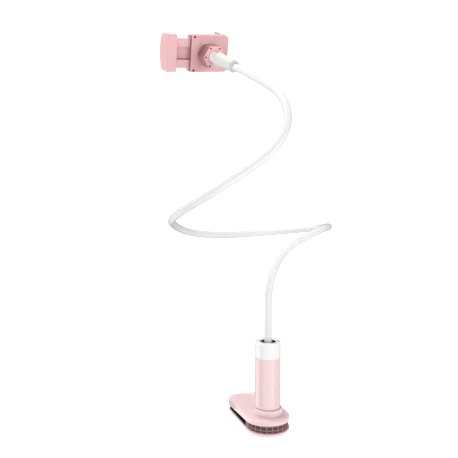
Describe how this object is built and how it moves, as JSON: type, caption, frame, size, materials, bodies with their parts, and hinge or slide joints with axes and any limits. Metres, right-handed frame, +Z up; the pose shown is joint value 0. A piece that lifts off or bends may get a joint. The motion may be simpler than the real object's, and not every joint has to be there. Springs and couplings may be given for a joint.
{
  "type": "phone holder",
  "caption": "Gooseneck phone holder: screw clamp base for a table edge, bendable coated arm, ball joint with lock nut and a spring-loaded phone clamp.",
  "frame": {"origin": "on the clamp post's axis, at the underside of the lower jaw", "axes": "+Z up along the post; the jaws' rounded nose points along -Y and their square heel along +Y; +X is the width of the jaws"},
  "size_m": [0.2642, 0.2645, 0.5285],
  "materials": {
    "base_plastic": "satin moulded, pale pink",
    "head_plastic": "satin moulded, rose pink",
    "white_plastic": "glossy white",
    "white_silicone": "smooth white silicone",
    "black_rubber": "matt black",
    "stop_rubber": "ribbed, dark mauve",
    "grey_silicone": "matt grey",
    "post_steel": "blackened",
    "fastener_steel": "plain",
    "spring_steel": "bright wire",
    "nut_brass": "turned",
    "arm_aluminium": "drawn rod"
  },
  "bodies": {
    "base": {"lower_jaw": "base_plastic", "lower_jaw_pad": "black_rubber", "edge_stop": "stop_rubber", "clamp_post": "post_steel", "post_screws": "fastener_steel", "arm_set_screw": "fastener_steel", "arm_sleeve": "white_silicone", "arm_core": "arm_aluminium", "arm_end_ferrule": "white_plastic"},
    "upper_clamp": {"upper_jaw": "base_plastic", "upper_jaw_pad": "black_rubber", "jaw_retainer": "fastener_steel"},
    "grip": {"grip_sleeve": "base_plastic", "sleeve_nut": "nut_brass", "sleeve_top_ring": "white_plastic"},
    "ball": {"ball_stud": "white_plastic"},
    "locking": {"lock_nut": "head_plastic"},
    "head": {"clamp_housing": "head_plastic", "back_cover": "head_plastic", "cover_screws": "fastener_steel", "fixed_jaw_pad": "grey_silicone", "spring_pins": "fastener_steel", "jaw_springs": "spring_steel"},
    "jaw": {"sliding_jaw": "head_plastic", "sliding_jaw_pad": "grey_silicone"}
  },
  "joints": [
    {"name": "jaw_lift", "type": "slide", "parent": "base", "child": "upper_clamp", "axis": [0, 0, 1], "range_m": [0, 0.04]},
    {"name": "grip_turn", "type": "hinge", "parent": "upper_clamp", "child": "grip", "pos_m": [0, 0, 0.06], "axis": [0, 0, 1], "range_deg": [0, 2880]},
    {"name": "ball_spin", "type": "hinge", "parent": "base", "child": "ball", "pos_m": [-0.038, 0.11, 0.488], "axis": [0.3132, -0.8746, -0.37], "continuous": true},
    {"name": "ball_tilt", "type": "hinge", "parent": "ball", "child": "locking", "pos_m": [-0.038, 0.11, 0.488], "axis": [0.4554, -0.2036, 0.8667], "range_deg": [-14, 38]},
    {"name": "head_turn", "type": "hinge", "parent": "locking", "child": "head", "pos_m": [-0.038, 0.11, 0.488], "axis": [0.1331, -0.947, -0.2924], "continuous": true},
    {"name": "jaw_slide", "type": "slide", "parent": "head", "child": "jaw", "axis": [-0.9907, -0.1186, -0.0667], "range_m": [0, 0.028], "stiffness_N_per_m": 200, "springref_m": -0.03, "deforming": ["jaw_springs"]}
  ],
  "couplings": [
    {"joint": "grip_turn", "follows": "jaw_lift", "rad_per_m": 1256.6}
  ]
}
